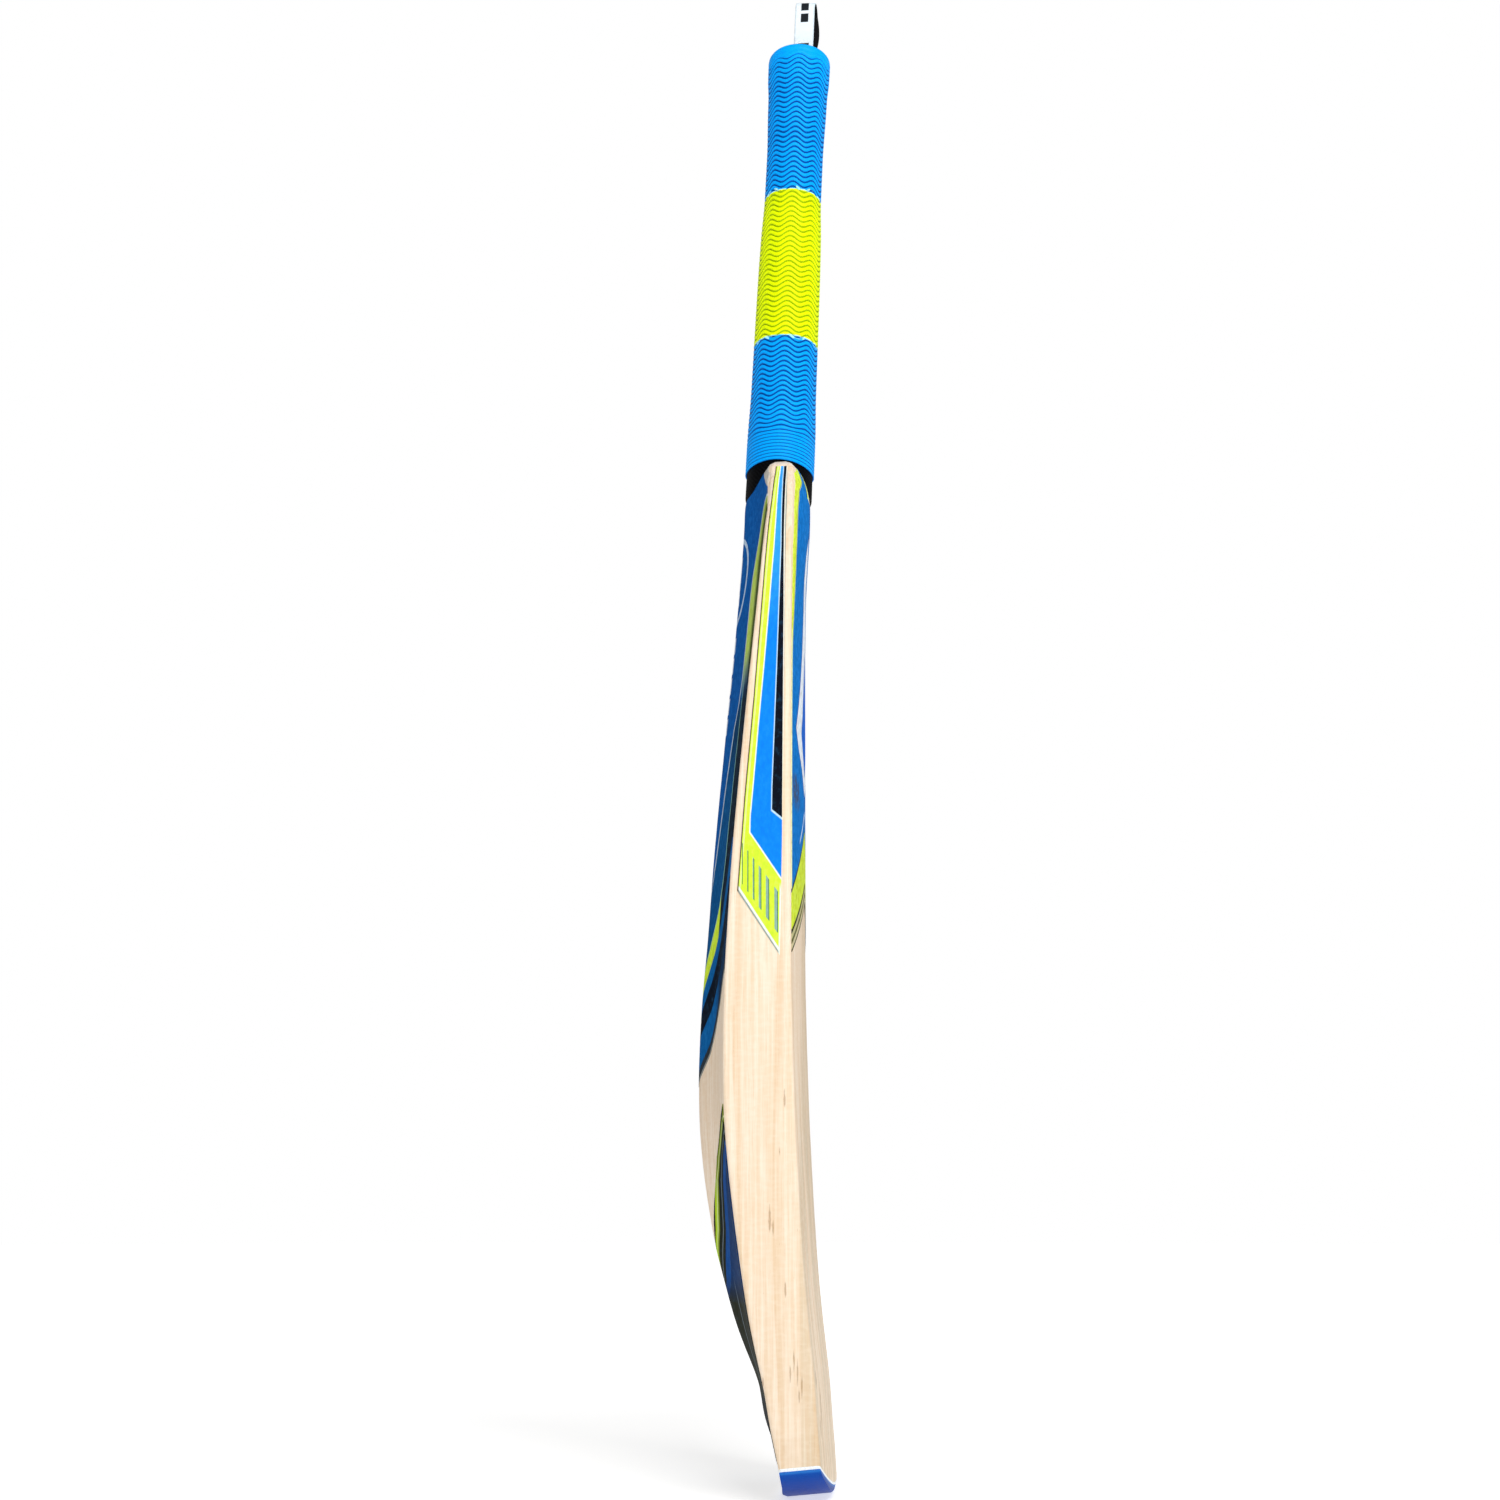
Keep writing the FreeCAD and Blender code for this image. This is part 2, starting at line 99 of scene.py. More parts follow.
LAST_DEPTH = 0.35           # down to this share
PAST_END = 9.0              # how far rows of points start past a border, which they are drawn back to
RIM_EASE = 6.0              # the push of the shoulders is gone this far above the ribs
HOLLOW_STEP = 8.0           # between rows inside the grip
CLEARANCE = 0.02            # between the grip and the twine
COLUMNS = 144
DOME_STEPS = 16
TWINE = 0.95                # diameter
TWINE_SEEN = 34.0           # turns are modelled up to here; the grip covers the rest
TWINE_COLUMNS = 96
TWINE_SHAPE = [(0.0, 0.0), (0.15, 0.71), (0.35, 0.95), (0.5, 1.0), (0.65, 0.95), (0.85, 0.71)]
SLEEVE_LAP = 3.0            # the plain sleeve starts this far below the last turns
SLEEVE_OUTSIDE = 0.04       # how far its two sides lie below the twine's surface
SLEEVE_INSIDE = 0.86
LOOP_WIDTH = 12.2
LOOP_THICK = 0.8
LOOP_RISE = 38.6
LOOP_RADIUS = 5.5
LOOP_FOOT = 3.9
LOOP_OFFSET = -2.4
LEG_STEPS = 22
BEND_STEPS = 16
NEAR_BOW = 0.35             # how far the legs bow outwards
FAR_BOW = 1.1
SKEW = 1.4                  # how far the bend has slipped towards the face
SLIP = 1.9                  # how much further the far leg goes that way


def smooth(points, at):
    """Value of the curve through the points, with no overshoot between them."""
    slopes = [(v1 - v0) / (z1 - z0) for (z0, v0), (z1, v1) in zip(points, points[1:])]
    tangents = [slopes[0]]
    for before, after in zip(slopes, slopes[1:]):
        tangents.append(2 * before * after / (before + after) if before * after > 0 else 0.0)
    tangents.append(slopes[-1])
    for i, ((z0, v0), (z1, v1)) in enumerate(zip(points, points[1:])):
        if at <= z1 or i == len(slopes) - 1:
            h = z1 - z0
            t = (at - z0) / h
            return ((2 * t ** 3 - 3 * t ** 2 + 1) * v0 + (t ** 3 - 2 * t ** 2 + t) * h * tangents[i]
                    + (3 * t ** 2 - 2 * t ** 3) * v1 + (t ** 3 - t ** 2) * h * tangents[i + 1])


def colour(code):
    """Linear colour with alpha from a hex code."""
    parts = [int(code[i:i + 2], 16) / 255 for i in (1, 3, 5)]
    return tuple(c / 12.92 if c <= 0.04045 else ((c + 0.055) / 1.055) ** 2.4 for c in parts) + (1.0,)


# ---------------------------------------------------------------- numbers inside a material
class Number:
    """A number that a material works out at each point of the surface."""

    def __init__(self, tree, socket):
        self.tree = tree
        self.socket = socket

    def math(self, operation, *others, clamp=False):
        node = self.tree.nodes.new("ShaderNodeMath")
        node.operation = operation
        node.use_clamp = clamp
        for slot, value in zip(node.inputs, (self, *others)):
            feed(self.tree, slot, value)
        return Number(self.tree, node.outputs[0])

    def __add__(self, other):
        return self.math("ADD", other)

    def __sub__(self, other):
        return self.math("SUBTRACT", other)

    def __mul__(self, other):
        return self.math("MULTIPLY", other)

    def __truediv__(self, other):
        return self.math("DIVIDE", other)

    def __radd__(self, other):
        return self.math("ADD", other)

    def __rmul__(self, other):
        return self.math("MULTIPLY", other)

    def __neg__(self):
        return self.math("MULTIPLY", -1.0)

    def __rsub__(self, other):
        return (-self).math("ADD", other)

    def __abs__(self):
        return self.math("ABSOLUTE")

    def least(self, other):
        return self.math("MINIMUM", other)

    def most(self, other):
        return self.math("MAXIMUM", other)

    def over(self, edge, soft=0.15):
        """0 below the edge and 1 above it, over a soft width."""
        return ((self - edge) / soft).math("ADD", 0.5, clamp=True)

    def under(self, edge, soft=0.15):
        return 1 - self.over(edge, soft)

    def between(self, low, high, soft=0.15):
        return self.over(low, soft).least(self.under(high, soft))

    def follow(self, points):
        """The value at this number of the line through the points, held level past both ends."""
        xs, ys = [p[0] for p in points], [p[1] for p in points]
        x0, x1, y0, y1 = min(xs), max(xs), min(ys), max(ys)
        node = self.tree.nodes.new("ShaderNodeFloatCurve")
        curve = node.mapping.curves[0]
        scaled = [((x - x0) / (x1 - x0), (y - y0) / (y1 - y0)) for x, y in points]
        curve.points[0].location, curve.points[1].location = scaled[0], scaled[-1]
        for place in scaled[1:-1]:
            curve.points.new(*place)
        for point in curve.points:
            point.handle_type = "VECTOR"
        node.mapping.extend = "HORIZONTAL"
        node.mapping.update()
        feed(self.tree, node.inputs["Value"], ((self - x0) / (x1 - x0)).math("ADD", 0.0, clamp=True))
        return Number(self.tree, node.outputs[0]) * (y1 - y0) + y0


def feed(tree, slot, value):
    if isinstance(value, Number):
        tree.links.new(value.socket, slot)
    else:
        slot.default_value = value


class Surface:
    """A Principled material whose colour is painted in layers."""

    def __init__(self, name, base, roughness=0.5, specular=0.2):
        self.material = bpy.data.materials.new(name)
        self.material.use_nodes = True
        self.tree = self.material.node_tree
        self.shader = self.tree.nodes["Principled BSDF"]
        self.shader.inputs["Roughness"].default_value = roughness
        self.shader.inputs["Specular IOR Level"].default_value = specular
        self.paint = colour(base)
        self.material.diffuse_color = colour(base)
        place = self.tree.nodes.new("ShaderNodeTexCoord")
        split = self.tree.nodes.new("ShaderNodeSeparateXYZ")
        self.tree.links.new(place.outputs["Object"], split.inputs[0])
        self.x, self.y, self.z = (Number(self.tree, out) * (1 / MM) for out in split.outputs)

    def on_handle(self):
        """Height along the handle's axis from its root, and depth behind that axis."""
        y, z = self.y - ROOT_Y, self.z - ROOT_Z
        along = z * math.cos(LEAN) - y * math.sin(LEAN)
        depth = y * math.cos(LEAN) + z * math.sin(LEAN)
        return along, depth

    def join(self, x, y, z):
        node = self.tree.nodes.new("ShaderNodeCombineXYZ")
        for slot, value in zip(node.inputs, (x, y, z)):
            feed(self.tree, slot, value)
        return node.outputs[0]

    def noise(self, x, y, z, detail=2.0, roughness=0.5):
        """Smooth random number from 0 to 1 whose features are about one unit wide in x, y and z."""
        node = self.tree.nodes.new("ShaderNodeTexNoise")
        node.inputs["Scale"].default_value = 1.0
        node.inputs["Detail"].default_value = detail
        node.inputs["Roughness"].default_value = roughness
        self.tree.links.new(self.join(x, y, z), node.inputs["Vector"])
        return Number(self.tree, node.outputs["Fac"])

    def layer(self, code, mask):
        """Paints a colour where the mask is 1."""
        node = self.tree.nodes.new("ShaderNodeMix")
        node.data_type = "RGBA"
        feed(self.tree, node.inputs[0], mask)
        if isinstance(self.paint, tuple):
            node.inputs[6].default_value = self.paint
        else:
            self.tree.links.new(self.paint, node.inputs[6])
        node.inputs[7].default_value = colour(code)
        self.paint = node.outputs[2]

    def rough(self, value):
        feed(self.tree, self.shader.inputs["Roughness"], value)

    def bump(self, height, distance):
        """Fine relief: a height from 0 to 1, and how many millimetres 1 stands for."""
        node = self.tree.nodes.new("ShaderNodeBump")
        node.inputs["Strength"].default_value = 1.0
        node.inputs["Distance"].default_value = distance * MM
        feed(self.tree, node.inputs["Height"], height)
        self.tree.links.new(node.outputs[0], self.shader.inputs["Normal"])

    def done(self):
        slot = self.shader.inputs["Base Color"]
        if isinstance(self.paint, tuple):
            slot.default_value = self.paint
        else:
            self.tree.links.new(self.paint, slot)
        return self.material


# ---------------------------------------------------------------- materials: wood
# Dark marks in the willow of the near edge: (y, z, half width, half length).
EDGE_MARKS = [(9.2, 165, 0.35, 2.4), (6.5, 191, 0.6, 5.0), (14.1, 132, 0.8, 6.5), (12.6, 128, 0.5, 4.0),
              (6.6, 99, 0.5, 3.6), (2.6, 66, 0.5, 5.0), (0.9, 61, 0.4, 7.0), (-1.2, 54, 0.45, 5.0),
              (4.4, 60, 0.4, 4.0), (17.7, 56, 0.5, 2.2), (0.2, 50, 0.4, 4.0)]
# On the face and the back: (x, z, half width, half length).
FACE_MARKS = [(-49, 57, 0.9, 4.5), (-42, 44, 0.8, 9), (-46, 36, 0.7, 6), (17, 92, 0.8, 5), (31, 148, 0.7, 8),
              (-12, 60, 0.6, 4)]


def wood_base(s, pitch, across, strength):
    """Growth rings, fibres and pores that run along Z, from a number that rises across the rings."""
    x, y, z = s.x, s.y, s.z
    drift = s.noise(x / 70, y / 70, z / 240, 1.0) * 9
    rings = (across + drift) / pitch
    ring = rings.math("FRACT")
    line = ring.over(0.86, 0.24).least(ring.under(0.985, 0.03))
    fade = s.noise(rings * 0.9, 3.0, z / 160, 1.0).over(0.5, 0.45)
    s.layer("#dfbb8e", line * (fade * 0.42 + 0.16) * strength)
    streaks = s.noise(x / 1.7, y / 1.7, z / 75, 3.0, 0.6)
    s.layer("#e8cda9", streaks.over(0.55, 0.30) * 0.46 * strength)
    s.layer("#fff4e3", streaks.under(0.42, 0.24) * 0.40)
    fibres = s.noise(x / 0.45, y / 0.45, z / 16, 3.0, 0.65)
    s.layer("#dcb98c", fibres.over(0.60, 0.16) * 0.26 * strength)
    pores = s.noise(x / 0.32, y / 0.32, z / 3.4, 2.0, 0.55)
    s.layer("#b98f60", pores.over(0.74, 0.06) * 0.38 * strength)
    return fibres


def spots(s, across, marks, code, share):
    """Small dark marks along the grain, ragged at their edges."""
    ragged = s.noise(s.x / 0.7, s.y / 0.7, s.z / 3.0, 2.0)
    mask = None
    for centre, height, half, length in marks:
        far = ((across - centre) / half).math("POWER", 2.0) + ((s.z - height) / length).math("POWER", 2.0)
        one = (far + ragged * 2.6).under(2.0, 1.0)
        mask = one if mask is None else mask.most(one)
    s.layer(code, mask * share)


def willow():
    s = Surface("willow", "#f4e0c8")
    x, y, z = s.x, s.y, s.z
    broad = s.noise(x / 40, y / 26, z / 120, 2.0)
    s.layer("#f6dfca", broad.over(0.5, 0.35) * 0.4)
    s.layer("#f1d5ae", s.noise(x / 14, y / 14, z / 160, 2.0).over(0.58, 0.3) * 0.28)
    # Painted shade: greyish bands laid over the face side only, darkening it against the edge.
    s.layer("#c2b08c", y.under(-0.5, 1.0) * s.noise(x / 6, 2.0, z / 200, 3.0).over(0.47, 0.16) * 0.6)
    fibres = wood_base(s, 9.4, x * 0.87 + y * 0.5, 1.3)
    ripple = s.noise(x / 5, y / 5, z / 1.9, 1.0)
    s.layer("#fff6ea", ripple.over(0.56, 0.25) * 0.14)
    spots(s, y, EDGE_MARKS, "#a47a4e", x.under(-52.0, 1.0) * 0.55)
    spots(s, x, FACE_MARKS, "#94703f", y.under(-1.0, 1.0) * 0.6)
    grime = s.noise(x / 18, y / 18, z / 22, 3.0).over(0.52, 0.3)
    s.layer("#c9ae86", grime * z.under(46.0, 50.0) * 0.35)
    s.rough(fibres * 0.16 + 0.34)
    s.bump(fibres * 0.7 + broad * 0.3, 0.03)
    return s.done()


def cane():
    s = Surface("cane", "#d9b983", 0.5)
    fibres = s.noise(s.x / 0.7, s.y / 0.7, s.z / 60, 3.0, 0.6)
    s.layer("#b98f55", fibres.over(0.55, 0.2) * 0.6)
    s.layer("#efdcae", fibres.under(0.4, 0.2) * 0.5)
    pores = s.noise(s.x / 0.5, s.y / 0.5, s.z / 200, 1.0)
    s.layer("#6f4f2a", pores.over(0.66, 0.05) * 0.7)
    s.bump(fibres, 0.06)
    return s.done()


# ---------------------------------------------------------------- materials: prints on the blade
def print_grain(s, share=1.0):
    """Printed film over wood: faint mottling, and the fibres of the wood felt through it."""
    mottle = s.noise(s.x / 2.2, s.y / 2.2, s.z / 3.5, 4.0, 0.65)
    s.layer("#031a33", mottle.over(0.54, 0.20) * 0.30 * share)
    s.layer("#4fb0f0", mottle.under(0.40, 0.16) * 0.13 * share)
    fibres = s.noise(s.x / 0.8, s.y / 0.8, s.z / 30, 2.0)
    s.rough(mottle * 0.16 + 0.38)
    s.bump(fibres * 0.6 + mottle * 0.4, 0.035)


SLOTS = [(28.0, 0.22), (25.1, 0.28), (22.1, 0.45), (18.7, 0.7), (14.8, 0.9), (10.3, 0.95)]  # (y, half width)


def edge_film():
    """Bands that follow the edge: lime, blue and black, each ending on a slant."""
    s = Surface("edge_film", "#d9fa3a", specular=0.05)
    y, z = s.y, s.z
    line = 0.22
    rim = z.follow([(298, 30.7), (347, 27.1), (402, 22.2), (458, 17.7), (521, 12.7), (548, 11.2)]) - 0.75
    blue = z.follow([(304, 24.6), (338, 23.6), (354, 22.1), (387, 19.3), (421, 16.2), (455, 13.3),
                     (490, 10.5), (508, 9.6), (530, 8.9), (548, 8.2)])
    black = z.follow([(330, 12.6), (354, 12.1), (387, 10.7), (421, 9.3), (455, 8.0), (490, 6.7), (548, 6.5)])
    inner = z.follow([(264, 8.4), (322, 7.0), (354, 6.7), (404, 6.1), (455, 5.5), (508, 5.1), (548, 4.9)])
    s.layer("#f2ffc0", y.between(rim - 1.1, rim - 0.3, line) * 0.55)

    fill = y.under(blue, line).least(z.over(304.5 + (y - 7.6) * 1.52, 0.4))
    frame_fill = y.under(blue + 0.55, line).least(z.over(303.2 + (y - 7.6) * 1.52, 0.4))
    s.layer("#f3fff8", frame_fill)
    s.layer("#0a86ff", fill)
    s.layer("#45b8ff", fill * z.over(470.0, 60.0) * 0.55)

    strip = y.under(black, line).least(z.over(336.6 + (y - 7.0) * 0.86, 0.4))
    frame_strip = y.under(black + 0.5, line).least(z.over(335.3 + (y - 7.0) * 0.86, 0.4))
    s.layer("#bfe2ff", frame_strip)
    s.layer("#070b18", strip)

    slots, slot_hearts = None, None
    for centre, half in SLOTS:
        slant = (y - 8.5) * 1.4
        low, high = 274.0 + slant, 296.0 + slant
        one = y.between(centre - half, centre + half, 0.2).least(z.over(low, 0.5)).least(z.under(high, 0.5))
        heart = y.between(centre - half + 0.45, centre + half, 0.2).least(one)
        slots = one if slots is None else slots.most(one)
        slot_hearts = heart if slot_hearts is None else slot_hearts.most(heart)
    s.layer("#3f7d3c", slots)
    s.layer("#8fb3a8", slot_hearts)

    end = z - (264.0 + (y - 8.6) * 1.56)
    s.layer("#eefbf0", end.under(3.2, 0.4))
    s.layer("#9aa39c", end.under(1.1, 0.5))
    s.layer("#eefbf0", y.under(inner + 0.9, line).least(z.under(300.0, 4.0)))
    s.layer("#f6f3e6", y.under(inner + 0.15, line))
    s.layer("#8c9184", y.under(inner - 0.35, line) * 0.8)
    # Painted shade: a dark brown line along the edge's back corner, where it turns towards the shaded back.
    s.layer("#5c5137", y.over(rim + 0.15, 0.3))
    print_grain(s, 0.45)
    return s.done()


def face_film():
    """Blue field in a lime frame, with a plain white kite, ending below in an upturned V."""
    s = Surface("face_film", "#0878d0", specular=0.008)
    z = s.z
    u = abs(s.x)
    side = z.follow([(300, 50.6), (400, 50.4), (430, 49.6), (442, 48.0), (456, 45.5), (468, 43.5),
                     (481, 41.6), (504, 39.8), (518, 37.2), (532, 31.0), (541, 22.0)])
    # A white kite with a blue heart, and a pale V below it.
    kite = u - z.follow([(360, 0.0), (372, 16), (380, 30), (390, 38.5), (404, 31), (416, 25), (442, 15),
                         (470, 9.0), (500, 6.5), (516, 0.0)])
    s.layer("#0b2f7a", kite.under(1.1, 0.3))
    s.layer("#eef6ff", kite.under(0.0, 0.3))
    inner = u - z.follow([(368, -3.0), (384, 12), (392, 19), (404, 13), (430, 5.0), (456, -3.0)])
    s.layer("#8e99ac", inner.under(0.8, 0.3))
    s.layer("#1b66d6", inner.under(0.0, 0.3))
    bars = z + u * 0.85
    s.layer("#c8def8", bars.between(350, 352.5, 0.4) * u.under(26.0, 1.0))

    frame_line = u - side
    s.layer("#e9f7b4", frame_line.over(-0.3, 0.3))
    s.layer("#dff53c", frame_line.over(0.7, 0.3).least(z.over(440.0, 10.0)))
    s.layer("#3d4a1c", frame_line.between(0.2, 0.8, 0.3) * z.over(430.0, 20.0))
    s.layer("#a5a089", u.over(51.6, 0.5))

    # A lime collar around the handle, with a painted highlight as a pale ring where it meets the handle.
    along, depth = s.on_handle()
    collar = (s.x * s.x + depth * depth).math("SQRT") + along.under(0.0, 0.5) * 30
    s.layer("#10203c", collar.under(22.4, 0.4) * z.over(534.0, 2.0))
    s.layer("#e0f53c", collar.under(21.6, 0.4) * z.over(534.0, 2.0))
    s.layer("#f4f7e6", collar.under(20.1, 0.3) * z.over(534.0, 2.0))

    # Lower end, measured up from an upturned V.
    down = z + u * 0.85
    s.layer("#17253f", down.under(342.5, 0.4))
    s.layer("#d8ee3a", down.under(340.5, 0.5))
    low = z + u * 0.67
    s.layer("#2b2c12", low.under(312.0, 0.5))
    s.layer("#c6c08a", low.under(309.8, 0.5))
    s.layer("#6d6a35", low.under(306.8, 0.5))
    s.layer("#d6cba0", low.under(304.4, 0.5))
    s.layer("#54502c", low.under(301.6, 0.5))

    scuff = s.noise(s.x / 3.0, s.y / 3.0, z / 5.0, 4.0, 0.7)
    worn = ((s.x + 38) / 11).math("POWER", 2.0) + ((z - 354) / 9).math("POWER", 2.0)
    s.layer("#4a4338", scuff.over(0.47, 0.12) * worn.under(1.0, 1.2) * 0.8)
    far = s.noise(s.x / 1.2, 5.0, z / 22, 3.0, 0.6)
    s.layer("#e6eefc", far.over(0.70, 0.05) * z.between(330, 520, 40) * 0.35)
    print_grain(s)
    return s.done()


def back_film():
    """Blue field with nested curves that meet on the spine, and a V-shaped lower end."""
    s = Surface("back_film", "#0457a6", specular=0.006)
    z = s.z
    u = abs(s.x)
    fade = 0.5
    curve = u - z.follow([(296, -2.0), (312, 6.0), (326, 9.5), (340, 12), (368, 15.5), (395, 20), (408, 25),
                          (422, 27.5), (470, 26.5), (480, 27.5), (494, 31), (505, 34), (520, 38), (541, 44)])
    pin = u - z.follow([(256, -1.0), (272, 9.0), (284, 16), (296, 22.5), (309, 27), (322, 29.6), (350, 31),
                        (391, 33), (408, 34), (430, 36)])
    v = z - u.follow([(0, 201), (20, 216), (42, 241), (52, 256)])

    # Outside the curve: lime high up, running out into black lower down.
    s.layer("#043c66", curve.over(0.0, fade) * z.under(410.0, 14.0))
    s.layer("#c3dc62", curve.over(0.0, fade).least(z.over(424.0, 26.0)))
    s.layer("#222c16", u.over(47.2 - (z - 430) * 0.04, 0.8).least(z.over(412.0, 22.0)))
    s.layer("#5d6b23", u.over(42.0 - (z - 430) * 0.03, 5.0).least(z.over(424.0, 26.0)) * 0.6)
    s.layer("#0c1d2b", pin.over(0.0, fade).least(z.under(418.0, 26.0)))
    s.layer("#0560a4", pin.under(0.0, fade) * curve.over(0.0, fade) * z.under(372.0, 30.0) * 0.55)
    s.layer("#8fc1b1", abs(pin).under(0.75, 0.4) * z.under(420.0, 20.0))
    s.layer("#b9c8d4", abs(curve).under(0.8, 0.4))

    # Lower end, measured up from the V.
    flash = v - (45 + u * 0.5)
    s.layer("#0560a4", v.between(20.0, 45 + u * 0.5, fade))
    s.layer("#d6f13a", flash.over(0.0, fade).least(pin.over(0.3, fade)) * u.under(24.5, 1.5))
    s.layer("#06101f", v.between(23.0, 35 + u * 0.3, fade))
    s.layer("#0560a4", v.between(6.0, 23.0, fade))
    s.layer("#0a1c33", v.under(34.0, fade) * u.over(33.0, 12.0) * 0.85)
    s.layer("#2f3538", v.under(6.0, fade))
    s.layer("#8d8f8a", v.under(1.2, fade))

    # A plain ring, a bar and a row of squares high on the spine, in place of any mark.
    ring = (((s.x / 15).math("POWER", 2.0) + ((z - 488) / 26).math("POWER", 2.0)).math("SQRT") - 1) * 15
    s.layer("#b9cfe4", abs(ring).under(0.9, 0.4))
    s.layer("#dbe6f2", ((u / 4.4).most(abs(z - 488) / 15)).under(1.0, 0.1))
    squares = 1 - (z / 12).math("FRACT").over(0.8, 0.05)
    s.layer("#dbe6f2", u.under(5.5, 0.5) * z.between(395, 455, 0.6) * squares)
    # Painted highlight: a pale band along the print's upper end.
    rim = z + u * 0.9
    s.layer("#cfc9b8", rim.over(566.0, 0.6) * u.over(16.0, 1.0) * 0.9)
    print_grain(s, 0.7)
    return s.done()


def back_film_low():
    """Lower print on the back: black, with lime, grey and blue bands that open downwards from a V."""
    s = Surface("back_film_low", "#04070d", specular=0.004)
    z = s.z
    u = abs(s.x)
    fade = 0.5
    # How far in from the V-shaped upper end, across the blade.
    v = u - z.follow([(90, -24), (102, -9.0), (114, -1.0), (127, 8.0), (140, 13), (152, 17), (164, 26),
                      (176, 39), (186, 50)])
    s.layer("#1f220c", v.over(-1.5, fade))
    lime = v.between(1.6, 8.5, fade) * z.over(92.0, 20.0)
    s.layer("#7c8c22", lime)
    s.layer("#b9dc2c", v.between(2.4, 6.5, fade) * z.between(98, 150, 18))
    s.layer("#dfe9a8", v.between(5.0, 6.2, fade) * z.over(118.0, 20.0) * 0.9)
    s.layer("#1c2116", v.between(8.5, 13.0, fade))
    s.layer("#69747c", v.between(13.0, 14.4, fade) + u.between(23.5, 25.0, fade) * z.under(112.0, 6.0))
    s.layer("#0a4a94", v.between(18.5, 27.0, fade) * z.over(98.0, 14.0))
    s.layer("#0a3468", v.over(27.0, fade) * z.over(98.0, 14.0))
    s.layer("#3f474e", u.between(49.0, 50.2, fade))
    # Painted shade: the lowest part, by the toe, is an even dark grey in place of the bands.
    s.layer("#15181b", z.under(46.0, 1.0))
    print_grain(s, 0.3)
    return s.done()


# ---------------------------------------------------------------- materials: rubber, twine, ribbon
def grip_rubber(name, body, shade):
    """Rubber with painted shade in its valleys, and a ragged pale line where two colours meet."""
    s = Surface(name, body, specular=0.06)
    along, depth = s.on_handle()
    turn = depth.math("ARCTAN2", s.x)
    radius = (s.x * s.x + depth * depth).math("SQRT")
    stations = (16, 43, 70, 96, 122, 150, 176, 190, 204, 218, 232, 247, 262, 276, 289, 301)
    crest = along.follow([(height, smooth(GRIP_R, height)) for height in stations])
    # Painted shade: the valleys between the ridges are darkened towards the shade colour.
    s.layer(shade, (crest - radius).over(0.26, 0.36) * 0.95)
    wave = along - ((turn - WAVE_CREST) * WAVES).math("COSINE") * WAVE_HEIGHT
    teeth = s.noise(turn * 3.2, 0.5, 0.0, 1.0)
    for border, way in ((BAND_HIGH, 1.0), (BAND_LOW, -1.0)):
        spikes = teeth.over(0.56, 0.08) * abs(wave - border - way * 0.8).under(0.7, 0.4)
        line = abs(along - border - (teeth - 0.5) * 1.2).under(0.25, 0.35) * teeth.over(0.40, 0.2)
        s.layer("#b8fbff", line.most(spikes * (way * (along - border)).between(-0.4, 2.0, 0.4)) * 0.85)
    speckle = s.noise(s.x / 0.8, (s.y - ROOT_Y) / 0.8, (s.z - ROOT_Z) / 0.8, 2.0)
    s.rough(speckle * 0.14 + 0.36)
    s.bump(speckle, 0.03)
    return s.done()


def twine_black():
    s = Surface("waxed_twine", "#020203", 0.42, 0.03)
    x, y, z = s.x, s.y, s.z
    twist = (s.y.math("ARCTAN2", x) * 70 + z * 2.2).math("SINE")
    s.layer("#0e0e11", twist.over(0.2, 0.9) * 0.6)
    s.layer("#202026", s.noise(x / 1.2, y / 1.2, z / 0.6, 3.0).over(0.62, 0.1) * 0.3)
    s.bump(twist * 0.5 + 0.5, 0.05)
    return s.done()


def ribbon_face():
    """White woven ribbon with plain dark bars, one selvedge line down each side."""
    s = Surface("ribbon_white", "#e9f3fa", 0.7)
    y, z = s.y, s.z
    centre = y - (ROOT_Y + LOOP_OFFSET) + (z - ROOT_Z) * math.sin(LEAN)
    weft = (z * (2 * math.pi / 0.55)).math("SINE")
    warp = (y * (2 * math.pi / 0.45)).math("SINE")
    weave = weft * warp
    s.layer("#b5c8d6", weave.under(0.0, 0.8) * 0.35)
    bars = None
    for low, high, half in ((845.4, 847.4, 3.4), (862.4, 868.6, 2.4), (870.8, 877.4, 2.4)):
        one = z.between(low, high, 0.3).least(abs(centre).under(half, 0.3))
        bars = one if bars is None else bars.most(one)
    s.layer("#061018", bars)
    s.layer("#c7d6e0", abs(centre).over(5.3, 0.3) * 0.7)
    s.bump(weave * 0.5 + 0.5, 0.06)
    return s.done()


def ribbon_back():
    s = Surface("ribbon_black", "#040405", 0.75, 0.1)
    weave = (s.z * (2 * math.pi / 0.55)).math("SINE") * (s.y * (2 * math.pi / 0.45)).math("SINE")
    s.layer("#1b1b1f", weave.over(0.0, 0.8) * 0.5)
    s.bump(weave * 0.5 + 0.5, 0.06)
    return s.done()


